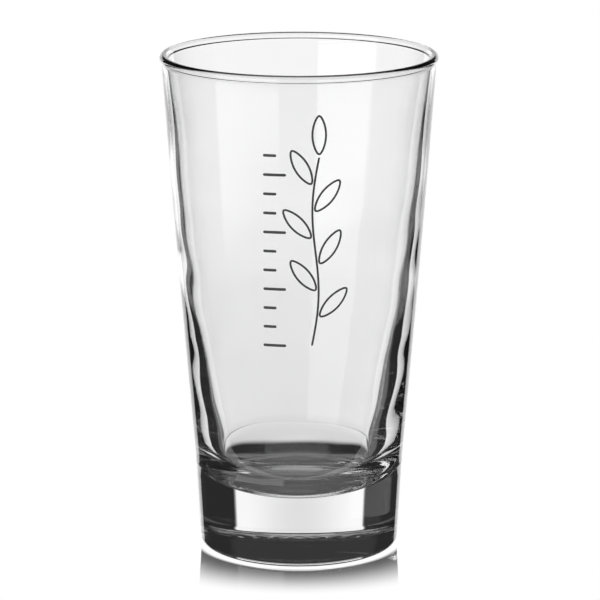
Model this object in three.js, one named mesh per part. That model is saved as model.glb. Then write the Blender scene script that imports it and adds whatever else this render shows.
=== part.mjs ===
// A pint glass: one pressed and fire-polished body of clear glass with a heavy
// foot, and a fired-on grey enamel print on the front of its wall.
//
// Units are millimetres and +Z is up. The origin is the centre of the foot, on
// the surface that the glass stands on. The front of the print faces -Y.

import * as THREE from 'three';

// ---------------------------------------------------------------------------
// Driving dimensions of the glass
// ---------------------------------------------------------------------------

const HEIGHT = 160;
const SEGMENTS = 72;

// Foot: a flat ring to stand on, round a shallow domed recess.
const FOOT_RING_INNER_RADIUS = 22.9;
const FOOT_RING_OUTER_RADIUS = 29.6;
const PUNT_DEPTH = 0.4;
const HEEL_RADIUS = 2.2;

// Outer wall: it leans outwards from the mould seam to the rim, and it bows out
// a little halfway up.
const SEAM_HEIGHT = 27.5;
const SEAM_PROUD = 0.15;
const SEAM_HALF_WIDTH = 0.6;
const WALL_RADIUS_AT_SEAM = 33.2;
const WALL_RADIUS_AT_RIM = 43.45;
const WALL_BOW = 0.3;

// Rim: a fire-polished bead that stands proud of the wall on the outside and
// runs smoothly into it on the inside.
const BEAD_RADIUS = 1.3;
const BEAD_CENTRE_RADIUS = 42.75;
const BEAD_START_ANGLE = THREE.MathUtils.degToRad(-55);

// Cavity: a large round floor corner, a lower cone that leans outwards more
// than the wall does, a soft shoulder and a thin-walled upper cone.
const FLOOR_HEIGHT = 19.5;
const FLOOR_CORNER_RADIUS = 17;
const LOWER_CONE_ANGLE = THREE.MathUtils.degToRad(11.2);
const CORNER_CENTRE_RADIUS = 8.4;
const CAVITY_POINTS = [
	[26.25, 39],
	[29.2, 55],
	[31.9, 71],
	[34.55, 92],
	[36.8, 112.6],
	[38.5, 131],
	[40.4, 147.8],
];

// ---------------------------------------------------------------------------
// Driving dimensions of the enamel print
// ---------------------------------------------------------------------------

const INK_THICKNESS = 0.15;
const INK_GAP = 0.06;
const LINE_WIDTH = 0.65;

// A column of plain bars, every third one longer.
const BAR_COUNT = 11;
const BAR_WIDTH = 0.9;
const BAR_LEFT = -11.2;
const BAR_SHORT_LENGTH = 4.2;
const BAR_LONG_LENGTH = 7.2;
const BAR_LOWEST = 74;
const BAR_HIGHEST = 135;

// A slim leafy sprig drawn in outline.
const STEM_FOOT = new THREE.Vector2(4.0, 74);
const STEM_TIP = new THREE.Vector2(6.2, 134.5);
const STEM_SWAY = 1.5;
const LEAF_LENGTH = 12;
const LEAF_HALF_WIDTH = 2.1;
const LEAF_CLEARANCE = 1.0;
const SIDE_LEAF_COUNT = 6;
const SIDE_LEAF_FIRST = 0.16;
const SIDE_LEAF_LAST = 0.86;
const SIDE_LEAF_ANGLE = THREE.MathUtils.degToRad(38);

// ---------------------------------------------------------------------------
// Materials
// ---------------------------------------------------------------------------

const clearGlass = new THREE.MeshStandardMaterial({
	color: 0xe9efef,
	roughness: 0.03,
	metalness: 0,
	transparent: true,
	opacity: 0.35,
});

const greyEnamel = new THREE.MeshStandardMaterial({
	color: 0x58585a,
	roughness: 0.45,
	metalness: 0,
});

// ---------------------------------------------------------------------------
// The glass body
// ---------------------------------------------------------------------------

// The outer wall's radius at a height between the mould seam and the rim.
function wallRadius(height) {
	const rimStart = HEIGHT - 2 * BEAD_RADIUS;
	const share = (height - SEAM_HEIGHT) / (rimStart - SEAM_HEIGHT);
	const cone = THREE.MathUtils.lerp(WALL_RADIUS_AT_SEAM, WALL_RADIUS_AT_RIM, share);
	return cone + WALL_BOW * Math.sin(Math.PI * share);
}

// Points on a round stretch of the profile, ends included.
function arcPoints(centreX, centreY, radius, startAngle, endAngle, steps) {
	const arc = new THREE.EllipseCurve(
		centreX,
		centreY,
		radius,
		radius,
		startAngle,
		endAngle,
		endAngle < startAngle,
	);
	return arc.getPoints(steps);
}

// The underside, from the axis out to the heel: domed recess, then the ring.
function footPoints() {
	const sphereRadius = (FOOT_RING_INNER_RADIUS ** 2 + PUNT_DEPTH ** 2) / (2 * PUNT_DEPTH);
	const edgeAngle = Math.acos(FOOT_RING_INNER_RADIUS / sphereRadius);
	const recess = arcPoints(0, PUNT_DEPTH - sphereRadius, sphereRadius, Math.PI / 2, edgeAngle, 4);
	recess[0].x = 0;
	recess[recess.length - 1].set(FOOT_RING_INNER_RADIUS, 0);
	return recess;
}

// The outside, from the heel up to where the rim's bead starts.
function outsidePoints() {
	const heel = arcPoints(FOOT_RING_OUTER_RADIUS, HEEL_RADIUS, HEEL_RADIUS, -Math.PI / 2, 0, 5);
	const seam = [
		new THREE.Vector2(WALL_RADIUS_AT_SEAM, SEAM_HEIGHT - SEAM_HALF_WIDTH),
		new THREE.Vector2(WALL_RADIUS_AT_SEAM + SEAM_PROUD, SEAM_HEIGHT),
	];
	const wall = [];
	const wallSteps = 10;
	const wallFoot = SEAM_HEIGHT + SEAM_HALF_WIDTH;
	const wallTop = HEIGHT - BEAD_RADIUS * (1 - Math.sin(BEAD_START_ANGLE)) - SEAM_HALF_WIDTH;
	for (let i = 0; i <= wallSteps; i += 1) {
		const height = THREE.MathUtils.lerp(wallFoot, wallTop, i / wallSteps);
		wall.push(new THREE.Vector2(wallRadius(height), height));
	}
	return [...heel, ...seam, ...wall];
}

// The rim's bead, from its outside over the top to its inside.
function beadPoints() {
	const centreHeight = HEIGHT - BEAD_RADIUS;
	const quarter = Math.PI / 2;
	const outer = arcPoints(
		BEAD_CENTRE_RADIUS,
		centreHeight,
		BEAD_RADIUS,
		BEAD_START_ANGLE,
		quarter,
		5,
	);
	const inner = arcPoints(BEAD_CENTRE_RADIUS, centreHeight, BEAD_RADIUS, quarter, Math.PI, 4);
	return [...outer, ...inner.slice(1)];
}

// The inside, from under the bead down to the middle of the floor.
function cavityPoints() {
	const cornerCentreHeight = FLOOR_HEIGHT + FLOOR_CORNER_RADIUS;
	const corner = arcPoints(
		CORNER_CENTRE_RADIUS,
		cornerCentreHeight,
		FLOOR_CORNER_RADIUS,
		-LOWER_CONE_ANGLE,
		-Math.PI / 2,
		5,
	);
	const beadInside = new THREE.Vector2(BEAD_CENTRE_RADIUS - BEAD_RADIUS, HEIGHT - BEAD_RADIUS);
	const wallNodes = CAVITY_POINTS.map(([radius, height]) => new THREE.Vector2(radius, height));
	const wall = new THREE.SplineCurve([beadInside, ...wallNodes.reverse(), corner[0]]);
	const wallSteps = 14;
	const wallPoints = wall.getPoints(wallSteps).slice(1, -1);
	return [...wallPoints, ...corner, new THREE.Vector2(0, FLOOR_HEIGHT)];
}

function makeGlassBody() {
	const profile = [...footPoints(), ...outsidePoints(), ...beadPoints(), ...cavityPoints()];
	const geometry = new THREE.LatheGeometry(profile, SEGMENTS);
	geometry.rotateX(Math.PI / 2);
	const body = new THREE.Mesh(geometry, clearGlass);
	body.name = 'glass_body';
	return body;
}

// ---------------------------------------------------------------------------
// The enamel print: each mark is a thin film of its own, wrapped on the wall
// ---------------------------------------------------------------------------

// A place on the wall: x is the distance round the wall from the front, y is
// the height, and lift is how far the point stands off the glass.
function onWall(place, lift) {
	const radius = wallRadius(place.y) + lift;
	const angle = place.x / radius;
	return [radius * Math.sin(angle), -radius * Math.cos(angle), place.y];
}

// The direction across the line at one of its points.
function acrossLine(line, index, closed) {
	const last = line.length - 1;
	const before = closed ? line[(index + last) % line.length] : line[Math.max(index - 1, 0)];
	const after = closed ? line[(index + 1) % line.length] : line[Math.min(index + 1, last)];
	const along = after.clone().sub(before).normalize();
	return new THREE.Vector2(-along.y, along.x);
}

// A film that follows a line on the wall. Each station has four corners: left
// and right on the glass side, then left and right on the outer side. An open
// line narrows to a round end by the share of its width in endShares.
function filmGeometry(line, width, closed) {
	const endShares = [0.45, 0.85];
	const positions = [];
	line.forEach((centre, index) => {
		const fromEnd = Math.min(index, line.length - 1 - index);
		const share = closed ? 1 : (endShares[fromEnd] ?? 1);
		const across = acrossLine(line, index, closed).multiplyScalar((width / 2) * share);
		const left = centre.clone().add(across);
		const right = centre.clone().sub(across);
		[INK_GAP, INK_GAP + INK_THICKNESS].forEach((lift) => {
			positions.push(...onWall(left, lift), ...onWall(right, lift));
		});
	});

	const corners = 4;
	const ring = [0, 1, 3, 2];
	const indices = [];
	const spans = closed ? line.length : line.length - 1;
	for (let i = 0; i < spans; i += 1) {
		const here = i * corners;
		const next = ((i + 1) % line.length) * corners;
		ring.forEach((corner, side) => {
			const other = ring[(side + 1) % corners];
			indices.push(here + corner, next + corner, next + other);
			indices.push(here + corner, next + other, here + other);
		});
	}
	if (!closed) {
		const end = (line.length - 1) * corners;
		indices.push(0, 3, 2, 0, 1, 3);
		indices.push(end, end + 2, end + 3, end, end + 3, end + 1);
	}

	const geometry = new THREE.BufferGeometry();
	geometry.setAttribute('position', new THREE.Float32BufferAttribute(positions, 3));
	geometry.setIndex(indices);
	geometry.computeVertexNormals();
	return geometry;
}

function makeMark(name, line, width, closed) {
	const mark = new THREE.Mesh(filmGeometry(line, width, closed), greyEnamel);
	mark.name = name;
	return mark;
}

// Bars stacked up the wall, from the lowest to the highest.
function makeBars() {
	const bars = [];
	const inset = [0, 0.12, 0.3];
	for (let i = 0; i < BAR_COUNT; i += 1) {
		const height = THREE.MathUtils.lerp(BAR_LOWEST, BAR_HIGHEST, i / (BAR_COUNT - 1));
		const length = i % 3 === 0 ? BAR_LONG_LENGTH : BAR_SHORT_LENGTH;
		const middle = [1, 2, 3, 4].map((step) => (length * step) / 5);
		const stations = [...inset, ...middle, ...inset.map((distance) => length - distance).reverse()];
		const line = stations.map((distance) => new THREE.Vector2(BAR_LEFT + distance, height));
		const number = String(i + 1).padStart(2, '0');
		bars.push(makeMark(`print_bar_${number}`, line, BAR_WIDTH, false));
	}
	return bars;
}

// The stem's place at a share of its height, swaying once to each side.
function stemPoint(share) {
	const point = STEM_FOOT.clone().lerp(STEM_TIP, share);
	point.x += STEM_SWAY * Math.sin(2 * Math.PI * share);
	return point;
}

function makeStem() {
	const steps = 26;
	const endSteps = [0, 0.002, 0.005];
	const middle = Array.from({ length: steps - 1 }, (_, i) => (i + 1) / steps);
	const shares = [...endSteps, ...middle, ...endSteps.map((share) => 1 - share).reverse()];
	return makeMark('print_stem', shares.map(stemPoint), LINE_WIDTH, false);
}

// A leaf's outline, slim at both ends. The lean is its angle from upright.
function leafOutline(foot, lean) {
	const steps = 28;
	const outline = [];
	for (let i = 0; i < steps; i += 1) {
		const turn = (2 * Math.PI * i) / steps;
		const along = (LEAF_LENGTH / 2) * (1 - Math.cos(turn));
		const across = LEAF_HALF_WIDTH * Math.sin(turn) * (0.75 + 0.25 * Math.sin(turn) ** 2);
		const point = new THREE.Vector2(across, along);
		outline.push(point.rotateAround(new THREE.Vector2(0, 0), -lean).add(foot));
	}
	return outline;
}

// Where a side leaf starts, clear of the stem, and its angle from upright.
function sideLeafSeat(share, side) {
	const stemPlace = stemPoint(share);
	const ahead = stemPoint(share + 0.01).sub(stemPlace);
	const stemLean = Math.atan2(ahead.x, ahead.y);
	const clearance = new THREE.Vector2(side * LEAF_CLEARANCE, 0);
	clearance.rotateAround(new THREE.Vector2(0, 0), -stemLean);
	return { foot: stemPlace.add(clearance), lean: stemLean + side * SIDE_LEAF_ANGLE };
}

// Leaves on alternate sides of the stem, and one at its tip.
function makeLeaves() {
	const leaves = [];
	for (let i = 0; i < SIDE_LEAF_COUNT; i += 1) {
		const share = THREE.MathUtils.lerp(SIDE_LEAF_FIRST, SIDE_LEAF_LAST, i / (SIDE_LEAF_COUNT - 1));
		const side = i % 2 === 0 ? 1 : -1;
		const seat = sideLeafSeat(share, side);
		const outline = leafOutline(seat.foot, seat.lean);
		leaves.push(makeMark(`print_leaf_${i + 1}`, outline, LINE_WIDTH, true));
	}
	const tipFoot = stemPoint(1).add(new THREE.Vector2(0, LEAF_CLEARANCE));
	const tip = leafOutline(tipFoot, 0);
	leaves.push(makeMark('print_leaf_tip', tip, LINE_WIDTH, true));
	return leaves;
}

// ---------------------------------------------------------------------------
// The whole glass
// ---------------------------------------------------------------------------

const print = new THREE.Group();
print.add(...makeBars(), makeStem(), ...makeLeaves());

const pintGlass = new THREE.Group();
pintGlass.add(makeGlassBody(), print);

export default pintGlass;
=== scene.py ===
"""A clear pint glass with a heavy foot and a fired-on grey print, set up for a studio picture.

The glass body and every mark of its print are built here at full finish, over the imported
model's nodes. Lengths are in metres, +Z is up, and the print faces -Y.
"""

import logging
import math
from collections.abc import Sequence
from dataclasses import dataclass, field
from enum import Enum

import bpy
import numpy as np
from mathutils import Euler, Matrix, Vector


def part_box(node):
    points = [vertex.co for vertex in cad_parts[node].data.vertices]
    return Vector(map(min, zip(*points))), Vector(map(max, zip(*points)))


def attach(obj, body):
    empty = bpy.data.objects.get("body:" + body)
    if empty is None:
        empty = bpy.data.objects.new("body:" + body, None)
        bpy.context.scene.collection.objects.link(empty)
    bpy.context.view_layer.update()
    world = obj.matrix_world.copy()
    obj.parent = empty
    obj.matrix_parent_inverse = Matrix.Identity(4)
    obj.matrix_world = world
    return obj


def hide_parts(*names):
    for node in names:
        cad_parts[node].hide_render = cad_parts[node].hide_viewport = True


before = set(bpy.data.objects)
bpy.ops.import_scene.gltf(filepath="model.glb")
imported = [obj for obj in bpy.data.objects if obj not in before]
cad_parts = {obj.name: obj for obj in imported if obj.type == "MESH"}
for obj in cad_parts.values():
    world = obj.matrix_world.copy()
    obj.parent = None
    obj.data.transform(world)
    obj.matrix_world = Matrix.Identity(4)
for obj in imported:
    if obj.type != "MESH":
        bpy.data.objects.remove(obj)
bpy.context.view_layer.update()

LOG = logging.getLogger("pint_glass")
MM = 0.001
ROOT_BODY = "root"


class Slot(Enum):
    """The record's material slots."""

    GLASS = "clear_glass"
    ENAMEL = "grey_enamel"


class Zone(Enum):
    """The stretches of the glass body's outline, from the middle of the underside round to the floor."""

    PUNT = 0
    FOOT_RING = 1
    HEEL = 2
    FOOT_SIDE = 3
    WALL = 4
    RIM = 5
    CAVITY = 6
    FLOOR = 7


# ---------------------------------------------------------------------------------------------
# Small helpers
# ---------------------------------------------------------------------------------------------


def smooth_step(value: np.ndarray | float, low: float, high: float) -> np.ndarray | float:
    """Eases from 0 at low to 1 at high.

    Args:
        value: Where to read the ease, as a number or an array.
        low: The place where the ease starts.
        high: The place where the ease is complete.

    Returns:
        The eased share, of value's own kind.
    """
    share = np.clip((value - low) / (high - low), 0.0, 1.0)
    return share * share * (3.0 - 2.0 * share)


def link_mesh(name: str, vertices: np.ndarray, faces: Sequence[Sequence[int]]) -> bpy.types.Object:
    """Makes a smooth-shaded mesh object in the scene.

    Args:
        name: The object's and its mesh's name.
        vertices: One row of x, y, z for each vertex.
        faces: The vertex numbers of each face.

    Returns:
        The new object.
    """
    mesh = bpy.data.meshes.new(name)
    mesh.from_pydata([tuple(row) for row in vertices], [], faces)
    mesh.validate()
    mesh.shade_smooth()
    mesh.update()
    piece = bpy.data.objects.new(name, mesh)
    bpy.context.scene.collection.objects.link(piece)
    return piece


class NodeSheet:
    """A material's node tree, with short ways to add and join its nodes."""

    def __init__(self, name: str) -> None:
        """Starts an empty material of that name."""
        self.material = bpy.data.materials.new(name)
        self.material.use_nodes = True
        self.tree = self.material.node_tree
        self.tree.nodes.clear()
        self.output = self.tree.nodes.new("ShaderNodeOutputMaterial")

    def add(self, kind: str, inputs: dict[str, object] | None = None, **settings: object) -> bpy.types.Node:
        """Adds a node.

        Args:
            kind: The node's Blender type.
            inputs: Values for its sockets, by socket name.
            **settings: Values for the node's own properties.

        Returns:
            The new node.
        """
        node = self.tree.nodes.new(kind)
        for key, value in settings.items():
            setattr(node, key, value)
        for key, value in (inputs or {}).items():
            node.inputs[key].default_value = value
        return node

    def join(self, source: bpy.types.NodeSocket, target: bpy.types.NodeSocket) -> None:
        """Links one socket to another."""
        self.tree.links.new(source, target)

    def place(self) -> bpy.types.NodeSocket:
        """Gives the point on the piece, in the piece's own metres."""
        return self.add("ShaderNodeTexCoord").outputs["Object"]

    def noise(self, scale: float, detail: float = 2.0, roughness: float = 0.5) -> bpy.types.Node:
        """Adds a noise pattern that follows the piece.

        Args:
            scale: Cells per metre.
            detail: How many finer layers are added.
            roughness: How strong the finer layers are.

        Returns:
            The noise node.
        """
        values = {"Scale": scale, "Detail": detail, "Roughness": roughness}
        node = self.add("ShaderNodeTexNoise", values)
        self.join(self.place(), node.inputs["Vector"])
        return node

    def ramp(self, source: bpy.types.NodeSocket,
             stops: Sequence[tuple[float, Sequence[float]]]) -> bpy.types.Node:
        """Adds a colour ramp.

        Args:
            source: What drives the ramp.
            stops: Places along the ramp and their colours.

        Returns:
            The ramp node.
        """
        node = self.add("ShaderNodeValToRGB")
        elements = node.color_ramp.elements
        while len(elements) < len(stops):
            elements.new(0.5)
        for element, (position, colour) in zip(elements, stops):
            element.position = position
            element.color = colour
        self.join(source, node.inputs["Fac"])
        return node


# ---------------------------------------------------------------------------------------------
# Finishes
# ---------------------------------------------------------------------------------------------


@dataclass(frozen=True)
class ClearGlass:
    """Pressed soda-lime glass: clear and neutral, with the faint waviness of a cooled melt."""

    index: float = 1.52
    tint_low: tuple[float, float, float, float] = (0.992, 0.993, 0.993, 1.0)
    tint_high: tuple[float, float, float, float] = (1.0, 1.0, 1.0, 1.0)
    tint_scale: float = 18.0
    ripple_scale: float = 60.0
    ripple_height: float = 0.010 * MM
    ripple_strength: float = 0.35
    depth_colour: tuple[float, float, float, float] = (0.90, 0.90, 0.90, 1.0)
    depth_density: float = 40.0

    def build(self) -> bpy.types.Material:
        """Makes the material.

        Returns:
            The glass material.
        """
        sheet = NodeSheet("pressed_clear_glass")
        values = {"Roughness": 0.0, "IOR": self.index, "Transmission Weight": 1.0}
        glass = sheet.add("ShaderNodeBsdfPrincipled", values)
        streaks = sheet.noise(self.tint_scale, detail=3.0)
        tint = sheet.ramp(streaks.outputs["Fac"], [(0.35, self.tint_low), (0.65, self.tint_high)])
        sheet.join(tint.outputs["Color"], glass.inputs["Base Color"])
        ripple = sheet.noise(self.ripple_scale, detail=1.0, roughness=0.4)
        bump = sheet.add("ShaderNodeBump", {"Strength": self.ripple_strength, "Distance": self.ripple_height})
        sheet.join(ripple.outputs["Fac"], bump.inputs["Height"])
        sheet.join(bump.outputs["Normal"], glass.inputs["Normal"])
        sheet.join(glass.outputs["BSDF"], sheet.output.inputs["Surface"])
        depth_values = {"Color": self.depth_colour, "Density": self.depth_density}
        depth = sheet.add("ShaderNodeVolumeAbsorption", depth_values)
        sheet.join(depth.outputs["Volume"], sheet.output.inputs["Volume"])
        return sheet.material


@dataclass(frozen=True)
class FiredEnamel:
    """Dark grey ceramic ink, screen printed and fired: slightly mottled, with a soft gloss."""

    dark: tuple[float, float, float, float] = (0.040, 0.040, 0.042, 1.0)
    light: tuple[float, float, float, float] = (0.066, 0.066, 0.069, 1.0)
    mottle_scale: float = 1400.0
    grain_scale: float = 5200.0
    gloss_low: float = 0.34
    gloss_high: float = 0.52
    grain_height: float = 0.004 * MM

    def build(self) -> bpy.types.Material:
        """Makes the material.

        Returns:
            The enamel material.
        """
        sheet = NodeSheet("fired_grey_enamel")
        ink = sheet.add("ShaderNodeBsdfPrincipled", {"IOR": 1.5})
        mottle = sheet.noise(self.mottle_scale, detail=4.0, roughness=0.6)
        colour = sheet.ramp(mottle.outputs["Fac"], [(0.3, self.dark), (0.7, self.light)])
        sheet.join(colour.outputs["Color"], ink.inputs["Base Color"])
        spread = {"From Min": 0.3, "From Max": 0.7, "To Min": self.gloss_low, "To Max": self.gloss_high}
        gloss = sheet.add("ShaderNodeMapRange", spread)
        sheet.join(mottle.outputs["Fac"], gloss.inputs["Value"])
        sheet.join(gloss.outputs["Result"], ink.inputs["Roughness"])
        grain = sheet.noise(self.grain_scale, detail=2.0)
        bump = sheet.add("ShaderNodeBump", {"Strength": 0.5, "Distance": self.grain_height})
        sheet.join(grain.outputs["Fac"], bump.inputs["Height"])
        sheet.join(bump.outputs["Normal"], ink.inputs["Normal"])
        sheet.join(ink.outputs["BSDF"], sheet.output.inputs["Surface"])
        return sheet.material


# ---------------------------------------------------------------------------------------------
# The glass body
# ---------------------------------------------------------------------------------------------


@dataclass
class OuterWall:
    """The outside of the glass between the mould seam and the rim: a cone with a slight bow."""

    seam_height: float = 27.5 * MM
    top_height: float = 157.4 * MM
    radius_at_seam: float = 33.2 * MM
    radius_at_top: float = 43.45 * MM
    bow: float = 0.3 * MM

    def radius(self, height: np.ndarray | float) -> np.ndarray | float:
        """Gives the wall's radius.

        Args:
            height: Height above the table.

        Returns:
            The outside radius there.
        """
        share = (height - self.seam_height) / (self.top_height - self.seam_height)
        cone = self.radius_at_seam + (self.radius_at_top - self.radius_at_seam) * share
        return cone + self.bow * np.sin(np.pi * share)


@dataclass
class GlassBody:
    """The one pressed piece of glass: foot, wall, beaded rim and cavity."""

    wall: OuterWall
    height: float
    segments: int = 384
    ring_inner: float = 22.9 * MM
    ring_outer: float = 29.6 * MM
    punt_depth: float = 0.4 * MM
    heel_radius: float = 2.2 * MM
    seam_proud: float = 0.15 * MM
    seam_half_width: float = 0.5 * MM
    bead_radius: float = 1.3 * MM
    bead_centre: float = 42.745 * MM
    bead_start: float = math.radians(-55.0)
    floor_height: float = 19.5 * MM
    floor_crown: float = 0.1 * MM
    floor_corner: float = 17.0 * MM
    corner_centre: float = 8.4 * MM
    lower_cone: float = math.radians(11.2)
    cavity_nodes: tuple[tuple[float, float], ...] = (
        (40.4 * MM, 147.8 * MM),
        (38.5 * MM, 131.0 * MM),
        (36.8 * MM, 112.6 * MM),
        (34.55 * MM, 92.0 * MM),
        (33.2 * MM, 80.0 * MM),
        (31.9 * MM, 71.0 * MM),
        (30.55 * MM, 63.0 * MM),
        (29.2 * MM, 55.0 * MM),
        (27.75 * MM, 46.8 * MM),
        (26.25 * MM, 39.0 * MM),
    )
    knurl_count: int = 96
    knurl_depth: float = 0.25 * MM
    cavity_drift: float = -0.5 * MM
    chill_height: float = 0.045 * MM
    seed: int = 7
    outline: list[tuple[float, float, Zone]] = field(default_factory=list)

    def arc(self, centre: tuple[float, float], radius: float, angles: tuple[float, float], steps: int,
            zone: Zone) -> None:
        """Adds a round stretch to the outline.

        Args:
            centre: The arc's centre as radius and height.
            radius: The arc's own radius.
            angles: The angles at its start and end, from straight outwards.
            steps: How many spans it has.
            zone: The zone that its points belong to.
        """
        for angle in np.linspace(angles[0], angles[1], steps + 1):
            point = (centre[0] + radius * math.cos(angle), centre[1] + radius * math.sin(angle))
            self.outline.append((max(point[0], 0.0), point[1], zone))

    def add_foot(self) -> None:
        """Adds the recess under the foot, the ring that it stands on, the heel and the foot's side."""
        sphere = (self.ring_inner**2 + self.punt_depth**2) / (2.0 * self.punt_depth)
        edge = math.acos(self.ring_inner / sphere)
        self.arc((0.0, self.punt_depth - sphere), sphere, (math.pi / 2, edge), 16, Zone.PUNT)
        for radius in np.linspace(self.ring_inner, self.ring_outer, 15)[1:-1]:
            self.outline.append((float(radius), 0.0, Zone.FOOT_RING))
        centre = (self.ring_outer, self.heel_radius)
        self.arc(centre, self.heel_radius, (-math.pi / 2, 0.0), 12, Zone.HEEL)
        low = (self.ring_outer + self.heel_radius, self.heel_radius)
        high = (self.wall.radius_at_seam, self.wall.seam_height - self.seam_half_width)
        for share in np.linspace(0.0, 1.0, 9)[1:]:
            radius = low[0] + (high[0] - low[0]) * share
            self.outline.append((float(radius), float(low[1] + (high[1] - low[1]) * share), Zone.FOOT_SIDE))

    def add_wall(self) -> None:
        """Adds the mould seam's low ridge and the outer wall up to the bead."""
        for share in (-0.5, 0.0, 0.5):
            height = self.wall.seam_height + share * self.seam_half_width
            proud = self.seam_proud * (1.0 - abs(share))
            self.outline.append((self.wall.radius_at_seam + proud, height, Zone.WALL))
        bead_foot = self.height - self.bead_radius * (1.0 - math.sin(self.bead_start))
        for height in np.linspace(self.wall.seam_height + self.seam_half_width, bead_foot - 0.8 * MM, 42):
            self.outline.append((float(self.wall.radius(height)), float(height), Zone.WALL))

    def add_rim(self) -> None:
        """Adds the fire-polished bead, from outside over the top to inside."""
        centre = (self.bead_centre, self.height - self.bead_radius)
        self.arc(centre, self.bead_radius, (self.bead_start, math.pi), 26, Zone.RIM)

    def add_cavity(self) -> None:
        """Adds the inside wall, the floor's round corner and the floor."""
        corner = (self.corner_centre, self.floor_height + self.floor_corner)
        corner_top = (
            corner[0] + self.floor_corner * math.cos(self.lower_cone),
            corner[1] - self.floor_corner * math.sin(self.lower_cone),
        )
        top = (self.bead_centre - self.bead_radius, self.height - self.bead_radius)
        for radius, height in catmull_rom([top, *self.cavity_nodes, corner_top], 9)[1:-1]:
            self.outline.append((radius, height, Zone.CAVITY))
        self.arc(corner, self.floor_corner, (-self.lower_cone, -math.pi / 2), 16, Zone.CAVITY)
        for share in np.linspace(1.0, 0.0, 10)[1:]:
            height = self.floor_height + self.floor_crown * (1.0 - share**2)
            self.outline.append((float(self.corner_centre * share), float(height), Zone.FLOOR))

    def uneven(self, radius: np.ndarray, height: np.ndarray, turn: np.ndarray,
               zones: np.ndarray) -> np.ndarray:
        """Places the outline's points round the axis, with the small faults of a pressed glass.

        Args:
            radius: Each vertex's radius on the outline.
            height: Each vertex's height on the outline.
            turn: Each vertex's angle round the axis.
            zones: Each vertex's zone number.

        Returns:
            One row of x, y, z for each vertex.
        """
        inside = (zones == Zone.CAVITY.value) | (zones == Zone.FLOOR.value)
        rng = np.random.default_rng(self.seed)
        chill = np.zeros_like(radius)
        for wave in range(14):
            round_count = int(rng.integers(1, 9))
            up_count = rng.uniform(60.0, 420.0)
            phase = rng.uniform(0.0, 2.0 * math.pi, 2)
            chill += np.sin(round_count * turn + phase[0]) * np.sin(up_count * height + phase[1])
        low_down = 1.0 - smooth_step(height, 95.0 * MM, 130.0 * MM)
        away_from_floor = smooth_step(height, 30.0 * MM, 40.0 * MM)
        radius = radius + np.where(inside, self.chill_height / 3.0 * chill * low_down * away_from_floor, 0.0)
        drift = np.where(inside, self.cavity_drift * (1.0 - smooth_step(height, 85.0 * MM, 140.0 * MM)), 0.0)
        on_ring = smooth_step(radius, self.ring_inner, self.ring_inner + 1.2 * MM)
        on_ring = on_ring * (1.0 - smooth_step(radius, self.ring_outer - 1.6 * MM, self.ring_outer))
        ring = np.where(zones == Zone.FOOT_RING.value, on_ring, 0.0)
        height = height + ring * self.knurl_depth * 0.5 * (1.0 - np.cos(self.knurl_count * turn))
        return np.stack([radius * np.cos(turn) + drift, radius * np.sin(turn), height], axis=1)

    def build(self) -> bpy.types.Object:
        """Turns the outline round the axis.

        Returns:
            The glass body.
        """
        self.add_foot()
        self.add_wall()
        self.add_rim()
        self.add_cavity()
        rings = self.outline[1:-1]
        count = self.segments
        turn = np.tile(np.arange(count) * (2.0 * math.pi / count), len(rings))
        radius = np.repeat([ring[0] for ring in rings], count)
        height = np.repeat([ring[1] for ring in rings], count)
        zones = np.repeat([ring[2].value for ring in rings], count)
        body = self.uneven(radius, height, turn, zones)
        first, last = self.outline[0], self.outline[-1]
        poles = [[0.0, 0.0, first[1]], [self.cavity_drift, 0.0, last[1]]]
        vertices = np.vstack([body, poles])
        faces: list[tuple[int, ...]] = []
        for ring in range(len(rings) - 1):
            low, high = ring * count, (ring + 1) * count
            for i in range(count):
                beside = (i + 1) % count
                faces.append((low + i, low + beside, high + beside, high + i))
        under, floor = len(body), len(body) + 1
        end = (len(rings) - 1) * count
        faces += [(under, (i + 1) % count, i) for i in range(count)]
        faces += [(floor, end + i, end + (i + 1) % count) for i in range(count)]
        return link_mesh("pint_glass", vertices, faces)

    def dress(self, piece: bpy.types.Object, finish: bpy.types.Material) -> None:
        """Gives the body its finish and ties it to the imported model."""
        piece.data.materials.append(finish)
        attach(piece, ROOT_BODY)
        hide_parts("glass_body")


def catmull_rom(nodes: Sequence[tuple[float, float]], steps: int) -> list[tuple[float, float]]:
    """Draws a smooth curve through points.

    Args:
        nodes: The points that the curve goes through.
        steps: How many spans lie between each two of them.

    Returns:
        The curve's points, both ends included.
    """
    ends = [nodes[0], *nodes, nodes[-1]]
    curve = []
    for before, start, end, after in zip(ends, ends[1:], ends[2:], ends[3:]):
        for step in range(steps):
            t = step / steps
            curve.append(tuple(
                0.5 * (2 * b + (c - a) * t + (2 * a - 5 * b + 4 * c - d) * t**2 + (3 * b - a - 3 * c + d) * t**3)
                for a, b, c, d in zip(before, start, end, after)
            ))
    return [*curve, nodes[-1]]


# ---------------------------------------------------------------------------------------------
# The enamel print
# ---------------------------------------------------------------------------------------------


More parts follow.
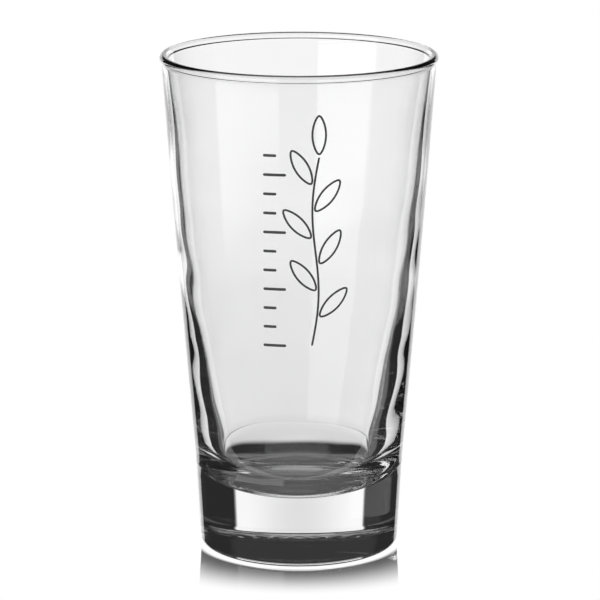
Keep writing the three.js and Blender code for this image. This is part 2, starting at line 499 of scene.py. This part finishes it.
@dataclass
class InkLine:
    """One mark of ink: a thin film along a line on the wall, with rounded edges."""

    wall: OuterWall
    points: np.ndarray
    width: float
    closed: bool
    lift: float = 0.012 * MM
    thickness: float = 0.03 * MM

    def across(self) -> np.ndarray:
        """Gives the direction across the line at each of its points.

        Returns:
            One row of sideways and upward shares for each point.
        """
        if self.closed:
            along = np.roll(self.points, -1, axis=0) - np.roll(self.points, 1, axis=0)
        else:
            along = np.gradient(self.points, axis=0)
        along /= np.linalg.norm(along, axis=1, keepdims=True)
        return np.stack([-along[:, 1], along[:, 0]], axis=1)

    def half_widths(self) -> np.ndarray:
        """Gives half the line's width at each point, rounded off at open ends.

        Returns:
            One half width for each point.
        """
        half = self.width / 2.0
        if self.closed:
            return np.full(len(self.points), half)
        spans = np.linalg.norm(np.diff(self.points, axis=0), axis=1)
        run = np.concatenate([[0.0], np.cumsum(spans)])
        from_end = np.minimum(run, run[-1] - run)
        inset = np.clip(1.0 - from_end / half, 0.0, 0.98)
        return half * np.sqrt(1.0 - inset**2)

    def on_wall(self, place: np.ndarray, lift: float) -> np.ndarray:
        """Wraps flat places onto the wall.

        Args:
            place: Distance round the wall from the front, and height, for each point.
            lift: How far the points stand off the glass.

        Returns:
            One row of x, y, z for each point.
        """
        radius = self.wall.radius(place[:, 1])
        turn = place[:, 0] / radius
        stand = radius + lift
        return np.stack([stand * np.sin(turn), -stand * np.cos(turn), place[:, 1]], axis=1)

    def build(self, name: str) -> bpy.types.Object:
        """Makes the film.

        Args:
            name: The mark's name.

        Returns:
            The mark.
        """
        across = self.across() * self.half_widths()[:, None]
        section = [(-1.0, 0.0), (-1.0, 0.5), (-0.8, 1.0), (0.8, 1.0), (1.0, 0.5), (1.0, 0.0)]
        rows = [self.on_wall(self.points + across * side, self.lift + self.thickness * up)
                for side, up in section]
        vertices = np.stack(rows, axis=1).reshape(-1, 3)
        count, corners = len(self.points), len(section)
        spans = count if self.closed else count - 1
        faces: list[tuple[int, ...]] = []
        for span in range(spans):
            here, there = span * corners, ((span + 1) % count) * corners
            for corner in range(corners):
                other = (corner + 1) % corners
                faces.append((here + corner, here + other, there + other, there + corner))
        if not self.closed:
            end = (count - 1) * corners
            faces.append(tuple(reversed(range(corners))))
            faces.append(tuple(end + corner for corner in range(corners)))
        return link_mesh(name, vertices, faces)


@dataclass
class EnamelPrint:
    """The print: a column of plain bars beside a slim leafy sprig in outline."""

    wall: OuterWall
    line_width: float = 0.65 * MM
    spacing: float = 0.22 * MM
    bar_count: int = 11
    bar_width: float = 0.9 * MM
    bar_left: float = -11.2 * MM
    bar_short: float = 4.2 * MM
    bar_long: float = 7.2 * MM
    bar_lowest: float = 74.0 * MM
    bar_highest: float = 135.0 * MM
    stem_foot: tuple[float, float] = (4.0 * MM, 74.0 * MM)
    stem_tip: tuple[float, float] = (6.2 * MM, 134.5 * MM)
    stem_sway: float = 1.5 * MM
    leaf_length: float = 12.0 * MM
    leaf_half_width: float = 2.1 * MM
    leaf_clearance: float = 1.0 * MM
    leaf_count: int = 6
    leaf_shares: tuple[float, float] = (0.16, 0.86)
    leaf_lean: float = math.radians(38.0)

    def bars(self) -> dict[str, InkLine]:
        """Lays out the bars, from the lowest to the highest.

        Returns:
            The bars' lines by node name.
        """
        lines = {}
        for index in range(self.bar_count):
            share = index / (self.bar_count - 1)
            height = self.bar_lowest + (self.bar_highest - self.bar_lowest) * share
            length = self.bar_long if index % 3 == 0 else self.bar_short
            along = np.concatenate([
                np.linspace(0.0, self.bar_width / 2.0, 6)[:-1],
                np.linspace(self.bar_width / 2.0, length - self.bar_width / 2.0, 24),
                np.linspace(length - self.bar_width / 2.0, length, 6)[1:],
            ])
            points = np.stack([self.bar_left + along, np.full_like(along, height)], axis=1)
            lines[f"print_bar_{index + 1:02d}"] = InkLine(self.wall, points, self.bar_width, closed=False)
        return lines

    def stem_point(self, share: np.ndarray | float) -> np.ndarray:
        """Gives the stem's place.

        Args:
            share: How far up the stem, from 0 to 1.

        Returns:
            Distance round the wall and height.
        """
        share = np.asarray(share, dtype=float)
        foot, tip = np.array(self.stem_foot), np.array(self.stem_tip)
        point = foot + (tip - foot) * share[..., None]
        point[..., 0] += self.stem_sway * np.sin(2.0 * np.pi * share)
        return point

    def leaf(self, foot: np.ndarray, lean: float) -> InkLine:
        """Draws a leaf's outline.

        Args:
            foot: Where the leaf starts.
            lean: Its angle from upright.

        Returns:
            The leaf's closed line.
        """
        turn = np.linspace(0.0, 2.0 * np.pi, 120, endpoint=False)
        along = self.leaf_length / 2.0 * (1.0 - np.cos(turn))
        across = self.leaf_half_width * np.sin(turn) * (0.75 + 0.25 * np.sin(turn) ** 2)
        right = across * math.cos(lean) + along * math.sin(lean)
        up = along * math.cos(lean) - across * math.sin(lean)
        return InkLine(self.wall, np.stack([right, up], axis=1) + foot, self.line_width, closed=True)

    def sprig(self) -> dict[str, InkLine]:
        """Lays out the stem, the leaves on alternate sides of it and the leaf at its tip.

        Returns:
            The sprig's lines by node name.
        """
        steps = int((self.stem_tip[1] - self.stem_foot[1]) / self.spacing)
        shares = np.linspace(0.0, 1.0, steps)
        lines = {"print_stem": InkLine(self.wall, self.stem_point(shares), self.line_width, closed=False)}
        for index in range(self.leaf_count):
            lowest, highest = self.leaf_shares
            share = lowest + (highest - lowest) * index / (self.leaf_count - 1)
            side = 1.0 if index % 2 == 0 else -1.0
            ahead = self.stem_point(share + 0.01) - self.stem_point(share)
            stem_lean = math.atan2(ahead[0], ahead[1])
            clear = np.array([math.cos(stem_lean), -math.sin(stem_lean)]) * side * self.leaf_clearance
            lean = stem_lean + side * self.leaf_lean
            lines[f"print_leaf_{index + 1}"] = self.leaf(self.stem_point(share) + clear, lean)
        tip_foot = self.stem_point(1.0) + np.array([0.0, self.leaf_clearance])
        lines["print_leaf_tip"] = self.leaf(tip_foot, 0.0)
        return lines

    def build(self, finish: bpy.types.Material) -> list[bpy.types.Object]:
        """Makes every mark and ties it to its node.

        Args:
            finish: The enamel.

        Returns:
            The marks.
        """
        marks = []
        for node, line in {**self.bars(), **self.sprig()}.items():
            mark = line.build(node.replace("print", "enamel"))
            mark.data.materials.append(finish)
            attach(mark, ROOT_BODY)
            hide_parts(node)
            marks.append(mark)
        return marks


# ---------------------------------------------------------------------------------------------
# The studio
# ---------------------------------------------------------------------------------------------


@dataclass(frozen=True)
class SightLine:
    """Where the camera stands and how it looks at the glass."""

    distance: float = 1128.0 * MM
    height: float = 345.6 * MM
    side: float = 0.3 * MM
    pitch: float = math.radians(13.253)
    lens: float = 216.9

    def build(self) -> bpy.types.Object:
        """Makes the camera.

        Returns:
            The camera.
        """
        data = bpy.data.cameras.new("studio_camera")
        data.sensor_width = 36.0
        data.lens = self.lens
        data.clip_start = 0.05
        data.clip_end = 60.0
        camera = bpy.data.objects.new("studio_camera", data)
        camera.location = (self.side, -self.distance, self.height)
        camera.rotation_euler = Euler((math.pi / 2 - self.pitch, 0.0, 0.0))
        bpy.context.scene.collection.objects.link(camera)
        bpy.context.scene.camera = camera
        bpy.context.view_layer.update()
        return camera


@dataclass(frozen=True)
class Card:
    """A soft-edged card of light, by its directions from the glass, in degrees."""

    azimuth: tuple[float, float]
    elevation: tuple[float, float]
    strength: float
    side_feather: float = 1.5
    end_feathers: tuple[float, float] = (3.0, 3.0)
    grades: tuple[tuple[float, float], ...] = ((0.0, 1.0),)
    side_grades: tuple[tuple[float, float], ...] = ((0.0, 1.0),)

    def light(self, azimuth: np.ndarray, elevation: np.ndarray) -> np.ndarray:
        """Reads the card's light.

        Args:
            azimuth: Directions round the glass, 0 behind it and positive to the right.
            elevation: Directions above the horizon.

        Returns:
            The light in each direction.
        """
        left, right = self.azimuth
        low, high = self.elevation
        side, (low_end, high_end) = self.side_feather, self.end_feathers
        across = smooth_step(azimuth, left - side, left + side)
        across = across - smooth_step(azimuth, right - side, right + side)
        up = smooth_step(elevation, low - low_end, low + low_end)
        up = up - smooth_step(elevation, high - high_end, high + high_end)
        grade = np.interp(elevation, *zip(*self.grades)) * np.interp(np.abs(azimuth), *zip(*self.side_grades))
        return self.strength * across * up * grade


BACK_GRADES = (
    (-45.0, 0.82),
    (-27.0, 0.88),
    (-20.0, 0.95),
    (-16.0, 0.97),
    (-13.0, 1.05),
    (-10.5, 1.0),
    (10.0, 1.05),
)
BACK_SIDE_GRADES = ((0.0, 1.0), (5.0, 1.03), (10.0, 1.09), (15.0, 1.18), (22.0, 1.26))
BACK_CARD = Card((-29.6, 28.8), (-43.0, 10.0), 1.0, 0.8, (2.5, 2.5), BACK_GRADES, BACK_SIDE_GRADES)
DIM_CARDS = (
    Card((-44.0, 36.0), (11.0, 50.0), 0.05, 8.0),
    Card((-44.5, -30.0), (-24.0, -6.0), 0.045),
    Card((-68.0, -50.0), (-60.0, -24.0), 0.14, 3.0, (4.0, 4.0)),
    Card((46.0, 66.0), (-60.0, -24.0), 0.16, 3.0, (4.0, 4.0)),
)
TOP_CARD = Card((-200.0, 200.0), (50.0, 100.0), 1.1, 1.0, (5.0, 1.0))
SOFT_BOX = Card((-163.0, -105.0), (-19.0, 40.0), 1.6, 1.5, (1.2, 8.0))
SOFT_BOX_BEHIND_GLASS = Card((-163.0, -107.0), (-8.0, 12.0), 1.6, 1.5, (2.0, 2.0))
TABLE_CARD = Card((-8.0, 8.0), (6.0, 26.0), 1.0)


@dataclass
class StudioDome:
    """The light tent: a far shell that carries the cards. It is parented to the camera and moves with it."""

    name: str
    cards: Sequence[Card]
    base: float = 0.028
    radius: float = 20.0
    centre: tuple[float, float, float] = (0.0, 0.0, 80.0 * MM)
    step: float = 1.0

    def build(self, camera: bpy.types.Object, seen_by: Sequence[str]) -> bpy.types.Object:
        """Makes the shell.

        Args:
            camera: The camera that it is parented to, so the light turns and tilts with the view.
            seen_by: The kinds of ray that meet it.

        Returns:
            The shell.
        """
        azimuths = np.arange(-180.0, 180.0, self.step)
        elevations = np.arange(-90.0 + self.step, 90.0, self.step)
        turn, tilt = np.meshgrid(azimuths, elevations)
        light = np.full(turn.shape, self.base)
        for card in self.cards:
            light = np.maximum(light, card.light(turn, tilt))
        a, e = np.radians(turn).ravel(), np.radians(tilt).ravel()
        vertices = self.radius * np.stack([np.sin(a) * np.cos(e), np.cos(a) * np.cos(e), np.sin(e)], axis=1)
        vertices += np.array(self.centre)
        columns, rows = len(azimuths), len(elevations)
        faces = []
        for row in range(rows - 1):
            for column in range(columns):
                beside = (column + 1) % columns
                low, high = row * columns, (row + 1) * columns
                faces.append((low + column, high + column, high + beside, low + beside))
        shell = link_mesh(self.name, vertices, faces)
        glow = shell.data.attributes.new("glow", "FLOAT", "POINT")
        glow.data.foreach_set("value", light.ravel().astype(np.float32))
        shell.data.materials.append(self.material())
        for kind in ("camera", "diffuse", "glossy", "transmission", "volume_scatter", "shadow"):
            setattr(shell, f"visible_{kind}", kind in seen_by)
        shell.parent = camera
        shell.matrix_parent_inverse = camera.matrix_world.inverted()
        return shell

    def material(self) -> bpy.types.Material:
        """Makes the shell's glow.

        Returns:
            The glowing material.
        """
        sheet = NodeSheet(f"{self.name}_glow")
        glow = sheet.add("ShaderNodeAttribute", attribute_name="glow")
        light = sheet.add("ShaderNodeEmission")
        sheet.join(glow.outputs["Fac"], light.inputs["Strength"])
        sheet.join(light.outputs["Emission"], sheet.output.inputs["Surface"])
        return sheet.material


@dataclass
class PaleTable:
    """The white table top that the camera sees: evenly white, with a painted reflection, a mirror mixed in only
    in a ring round the foot, plain white further out.

    Rays through the glass see a separate dim disc under the foot instead of the table top: a painted shadow,
    glowing faintly where the glass's shadow would fall on the table.
    """

    # painted reflection ring: the glass is mirrored in the table only between these radii, fading out
    gap_inner: float = 32.6 * MM
    gap_outer: float = 34.2 * MM
    mirror_inner: float = 34.0 * MM
    mirror_outer: float = 60.0 * MM
    mirror_share: float = 0.9
    reach: float = 30.0
    # painted shadow under the glass: a dim glowing disc in place of the glass's shadow on the table
    shadow_disc_radius: float = 40.0 * MM
    shadow_disc_drop: float = 0.05 * MM
    shadow_disc_glow: float = 0.11

    def build(self) -> list[bpy.types.Object]:
        """Makes the table top and the painted shadow under the glass: a dim glowing disc that the glass stands
        on.

        Returns:
            The table top and the painted shadow disc.
        """
        reach = self.reach
        corners = reach * np.array([[-1.0, -1.0, 0.0], [1.0, -1.0, 0.0], [1.0, 1.0, 0.0], [-1.0, 1.0, 0.0]])
        top = link_mesh("table_top", corners, [(0, 1, 2, 3)])
        top.data.materials.append(self.white_and_reflection_ring())
        # the painted shadow: a faintly glowing disc just under the foot, met only by rays through the glass
        turn = np.linspace(0.0, 2.0 * math.pi, 96, endpoint=False)
        radius, drop = self.shadow_disc_radius, np.full_like(turn, -self.shadow_disc_drop)
        edge = np.stack([radius * np.cos(turn), radius * np.sin(turn), drop], axis=1)
        shadow_patch = link_mesh("painted_shadow_under_glass", edge, [tuple(range(len(turn)))])
        shadow_patch.data.materials.append(self.painted_shadow_material())
        for piece, seen_by in ((top, "camera"), (shadow_patch, "transmission")):
            for kind in ("camera", "diffuse", "glossy", "transmission", "volume_scatter", "shadow"):
                setattr(piece, f"visible_{kind}", kind == seen_by)
        return [top, shadow_patch]

    def painted_shadow_material(self) -> bpy.types.Material:
        """Makes the painted shadow: the dim glow that stands in for the glass's shadow on the table under it.

        Returns:
            The painted shadow disc's material.
        """
        sheet = NodeSheet("painted_shadow_glow")
        glow = sheet.add("ShaderNodeEmission", {"Color": (1.0, 1.0, 1.0, 1.0), "Strength": self.shadow_disc_glow})
        sheet.join(glow.outputs["Emission"], sheet.output.inputs["Surface"])
        return sheet.material

    def white_and_reflection_ring(self) -> bpy.types.Material:
        """Makes the white finish with a painted reflection ring: a real mirror mixed in only in a ring round the
        foot, fading out with distance.

        Returns:
            The table's material.
        """
        sheet = NodeSheet("white_table_painted_reflection_ring")
        length = sheet.add("ShaderNodeVectorMath", operation="LENGTH")
        sheet.join(sheet.place(), length.inputs[0])
        near = sheet.add("ShaderNodeMapRange", {
            "From Min": self.gap_inner, "From Max": self.gap_outer,
            "To Min": 0.0, "To Max": self.mirror_share})
        far = sheet.add("ShaderNodeMapRange", {
            "From Min": self.mirror_inner, "From Max": self.mirror_outer, "To Min": 1.0, "To Max": 0.0},
            interpolation_type="SMOOTHSTEP")
        sheet.join(length.outputs["Value"], near.inputs["Value"])
        sheet.join(length.outputs["Value"], far.inputs["Value"])
        # painted reflection: the mirror's share is set by distance from the foot, so the glass's reflection
        # shows only in a ring and fades out
        reflection_ring_mask = sheet.add("ShaderNodeMath", operation="MULTIPLY")
        sheet.join(near.outputs["Result"], reflection_ring_mask.inputs[0])
        sheet.join(far.outputs["Result"], reflection_ring_mask.inputs[1])
        white = sheet.add("ShaderNodeEmission", {"Color": (1.0, 1.0, 1.0, 1.0), "Strength": 1.0})
        mirror = sheet.add("ShaderNodeBsdfGlossy", {"Roughness": 0.0, "Color": (1.0, 1.0, 1.0, 1.0)})
        mix = sheet.add("ShaderNodeMixShader")
        sheet.join(reflection_ring_mask.outputs["Value"], mix.inputs["Fac"])
        sheet.join(white.outputs["Emission"], mix.inputs[1])
        sheet.join(mirror.outputs["BSDF"], mix.inputs[2])
        sheet.join(mix.outputs["Shader"], sheet.output.inputs["Surface"])
        return sheet.material


def set_surroundings() -> None:
    """Sets the plain white surround that the camera sees and the film's response."""
    scene = bpy.context.scene
    world = bpy.data.worlds.new("white_surround")
    world.use_nodes = True
    background = world.node_tree.nodes["Background"]
    background.inputs["Color"].default_value = (1.0, 1.0, 1.0, 1.0)
    background.inputs["Strength"].default_value = 1.0
    world.cycles_visibility.glossy = False
    world.cycles_visibility.transmission = False
    scene.world = world
    scene.view_settings.view_transform = "Standard"
    scene.cycles.max_bounces = 24
    scene.cycles.transmission_bounces = 24
    scene.cycles.glossy_bounces = 12


def main() -> None:
    """Builds the glass, its print and the studio."""
    logging.basicConfig(level=logging.INFO, format="%(name)s: %(message)s")
    low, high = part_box("glass_body")
    wall = OuterWall()
    body = GlassBody(wall, height=high.z - low.z)
    glass = body.build()
    body.dress(glass, ClearGlass().build())
    LOG.info("%s: %d faces", glass.name, len(glass.data.polygons))
    marks = EnamelPrint(wall).build(FiredEnamel().build())
    LOG.info("print: %d marks", len(marks))

    set_surroundings()
    camera = SightLine().build()
    PaleTable().build()
    backdrop = (BACK_CARD, *DIM_CARDS)
    through_cards = (*backdrop, TOP_CARD, SOFT_BOX_BEHIND_GLASS)
    gloss_cards = (*backdrop, TOP_CARD, SOFT_BOX, TABLE_CARD)
    StudioDome("through_light", through_cards).build(camera, ["transmission"])
    StudioDome("gloss_light", gloss_cards, radius=19.0).build(camera, ["glossy"])


if __name__ == "__main__":
    main()
